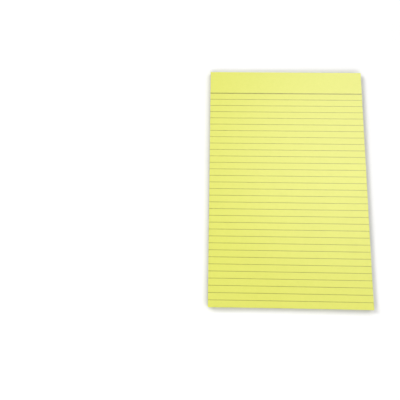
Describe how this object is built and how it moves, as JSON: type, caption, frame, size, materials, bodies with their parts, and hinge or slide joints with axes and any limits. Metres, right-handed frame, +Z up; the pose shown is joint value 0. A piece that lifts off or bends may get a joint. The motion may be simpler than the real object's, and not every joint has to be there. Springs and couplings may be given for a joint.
{
  "type": "legal pad",
  "caption": "Legal pad: a square-cut stack of yellow ruled leaves, gummed along the head edge, on a grey chipboard backing; rests flat.",
  "frame": {"origin": "under the middle of the pad's overall box, on the underside of the backing board", "axes": "+Z up from the board to the writing face; +Y along the pad to the glued head edge; +X across the pad, to the right of someone writing on it"},
  "size_m": [0.216, 0.3304, 0.0069],
  "materials": {
    "grey_chipboard": "uncoated recycled grey board, matte, with dark and pale fibre flecks and a rougher cut edge",
    "yellow_ruled_paper": "dyed yellow writing paper, matte, ruled across the full width in thin blue-grey ink with one heavier header line",
    "padding_compound": "dried translucent white padding glue, satin, with brush marks along the head edge"
  },
  "bodies": {
    "root": {"backing_board": "grey_chipboard", "leaves": "yellow_ruled_paper", "head_glue": "padding_compound"}
  },
  "joints": []
}
